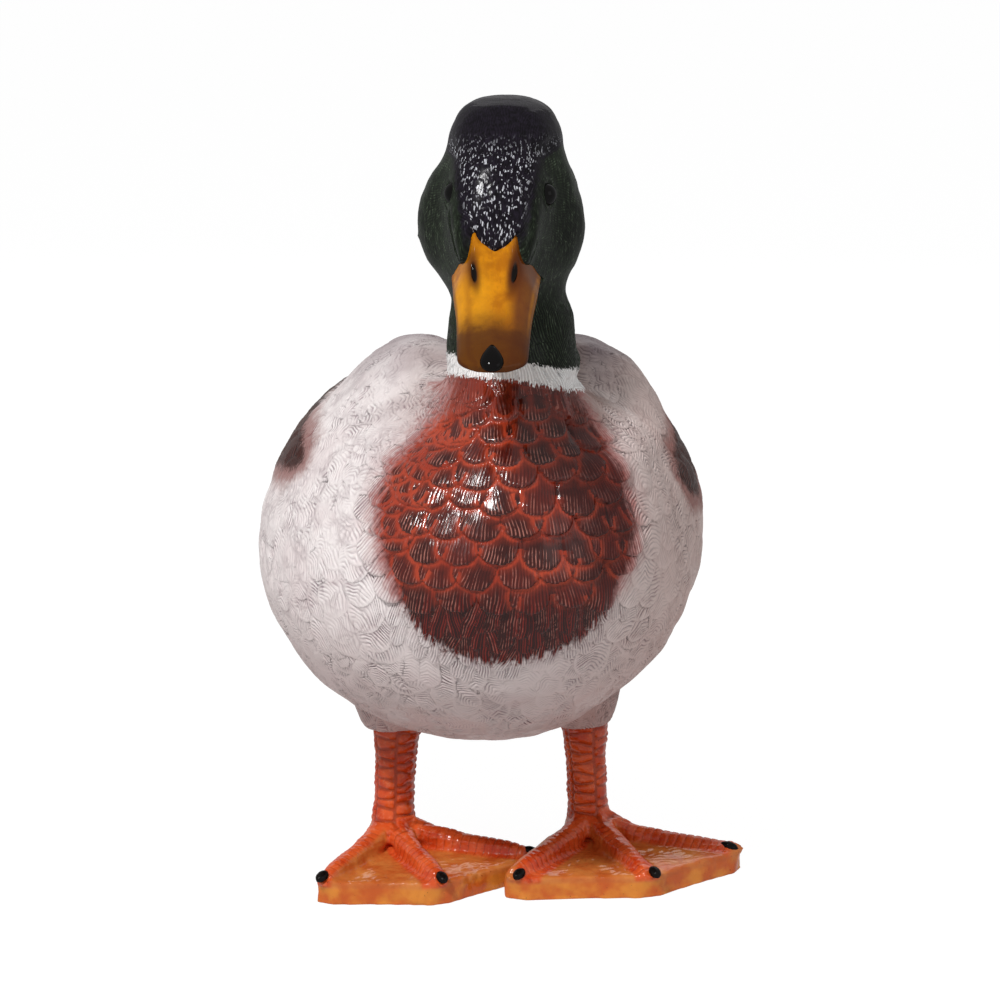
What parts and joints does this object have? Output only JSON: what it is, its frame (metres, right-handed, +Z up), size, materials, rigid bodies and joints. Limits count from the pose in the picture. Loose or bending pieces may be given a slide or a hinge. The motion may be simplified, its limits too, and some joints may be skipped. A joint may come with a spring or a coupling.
{
  "type": "mallard duck figurine",
  "caption": "Life-size standing mallard drake ornament for a garden or shelf, cast and painted, with its head up, wings folded, tail curled and webbed feet flat.",
  "frame": {"origin": "on the ground, under the middle of the figure's bounding box", "axes": "+Z up; the duck faces -Y, its left side is +X and its tail points along +Y"},
  "size_m": [0.2054, 0.4002, 0.3421],
  "materials": {
    "flank": "painted cast resin, sculpted feathers, satin varnish",
    "breast": "painted cast resin, sculpted scale feathers, gloss varnish",
    "collar": "painted cast resin, white with streaked edges, satin",
    "head": "painted cast resin, dark green over black, fine combed grooves, gloss",
    "tail_black": "painted cast resin, black, satin",
    "wing": "painted cast resin, grey-brown feathers with a blue bar, satin",
    "primary": "painted cast resin, dark brown, satin",
    "tail": "painted cast resin, pale grey-brown, satin",
    "bill": "painted cast resin, amber with brown edges, high gloss",
    "nail": "painted cast resin, black, high gloss",
    "eye": "set-in bead, brown-black, high gloss",
    "leg": "painted cast resin, red-orange scutes with a brown wash, gloss",
    "foot": "painted cast resin, orange web with red-orange toes, gloss",
    "claw": "painted cast resin, black, gloss"
  },
  "bodies": {
    "root": {"bill_lower": "bill", "bill_nail": "nail", "bill_upper": "bill", "breast": "breast", "claw_left_hind": "claw", "claw_left_inner": "claw", "claw_left_middle": "claw", "claw_left_outer": "claw", "claw_right_hind": "claw", "claw_right_inner": "claw", "claw_right_middle": "claw", "claw_right_outer": "claw", "collar": "collar", "curl_left": "tail_black", "curl_right": "tail_black", "eye_left": "eye", "eye_right": "eye", "foot_left": "foot", "foot_right": "foot", "head": "head", "leg_left": "leg", "leg_right": "leg", "neck": "head", "primaries_left": "primary", "primaries_right": "primary", "rump": "tail_black", "tail": "tail", "trunk": "flank", "wing_left": "wing", "wing_right": "wing"}
  },
  "joints": []
}
